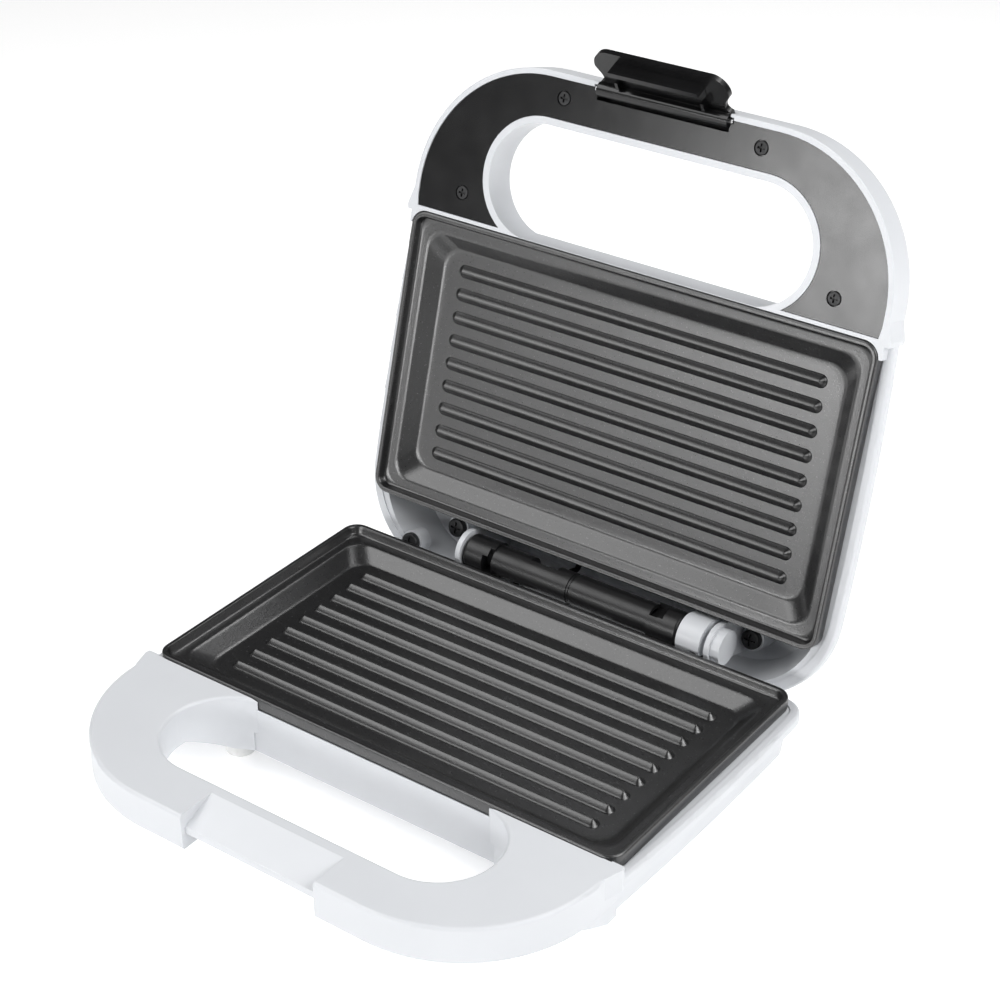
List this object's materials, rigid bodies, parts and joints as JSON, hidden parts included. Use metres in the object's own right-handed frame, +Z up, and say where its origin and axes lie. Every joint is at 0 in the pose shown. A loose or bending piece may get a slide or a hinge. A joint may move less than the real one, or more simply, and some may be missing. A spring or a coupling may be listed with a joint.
{
  "type": "panini press",
  "caption": "Countertop sandwich press with ribbed non-stick plates, a lid that opens on rear hinges, and a front latch that hooks under the lower handle.",
  "frame": {"origin": "centre of the bounding box's underside, on the surface that the feet stand on, with the lid open", "axes": "+Z up, -Y towards the handles at the front, +X to the right seen from the front"},
  "size_m": [0.241, 0.2858, 0.2598],
  "materials": {
    "white_plastic": "satin",
    "black_plastic": "satin",
    "nonstick_aluminium": "non-stick coated",
    "heater_tube": "oxidised",
    "reflector_sheet": "bright",
    "zinc_steel": "zinc plated",
    "black_screws": "black oxide",
    "plain_steel": "plain",
    "brass_parts": "plain",
    "foot_rubber": "matte",
    "wire_rubber": "matte",
    "red_lens": "clear",
    "green_lens": "clear"
  },
  "bodies": {
    "base": {"base_housing": "white_plastic", "base_handle_cover": "white_plastic", "base_handle_screws": "zinc_steel", "base_bottom_cover": "white_plastic", "base_cover_screws": "zinc_steel", "feet": "foot_rubber", "lower_grill_plate": "nonstick_aluminium", "lower_heating_element": "heater_tube", "lower_reflector": "reflector_sheet", "lower_plate_screws": "zinc_steel", "thermostat": "brass_parts", "thermal_fuse": "brass_parts", "terminal_block": "white_plastic", "base_wiring": "wire_rubber", "cord_inlet_bush": "black_plastic", "hinge_barrel_left": "black_plastic", "hinge_barrel_right": "black_plastic", "hinge_bracket_left": "black_plastic", "hinge_bracket_right": "black_plastic", "hinge_pins": "plain_steel", "hinge_bracket_screws": "zinc_steel"},
    "lid": {"lid_housing": "white_plastic", "handle_cover": "black_plastic", "handle_cover_screws": "black_screws", "upper_grill_plate": "nonstick_aluminium", "upper_heating_element": "heater_tube", "upper_reflector": "reflector_sheet", "upper_plate_screws": "zinc_steel", "lid_hinge_screws": "black_screws", "power_lamp_lens": "red_lens", "ready_lamp_lens": "green_lens", "lamp_holder": "wire_rubber", "lid_wiring": "wire_rubber", "latch_pin": "plain_steel"},
    "latch": {"latch": "black_plastic"}
  },
  "joints": [
    {"name": "lid_hinge", "type": "hinge", "parent": "base", "child": "lid", "pos_m": [0, 0.07004, 0.0383], "axis": [1, 0, 0], "range_deg": [0, 105.3]},
    {"name": "latch_pivot", "type": "hinge", "parent": "lid", "child": "latch", "pos_m": [0, 0.12726, 0.24026], "axis": [1, 0, 0], "range_deg": [0, 50]}
  ]
}
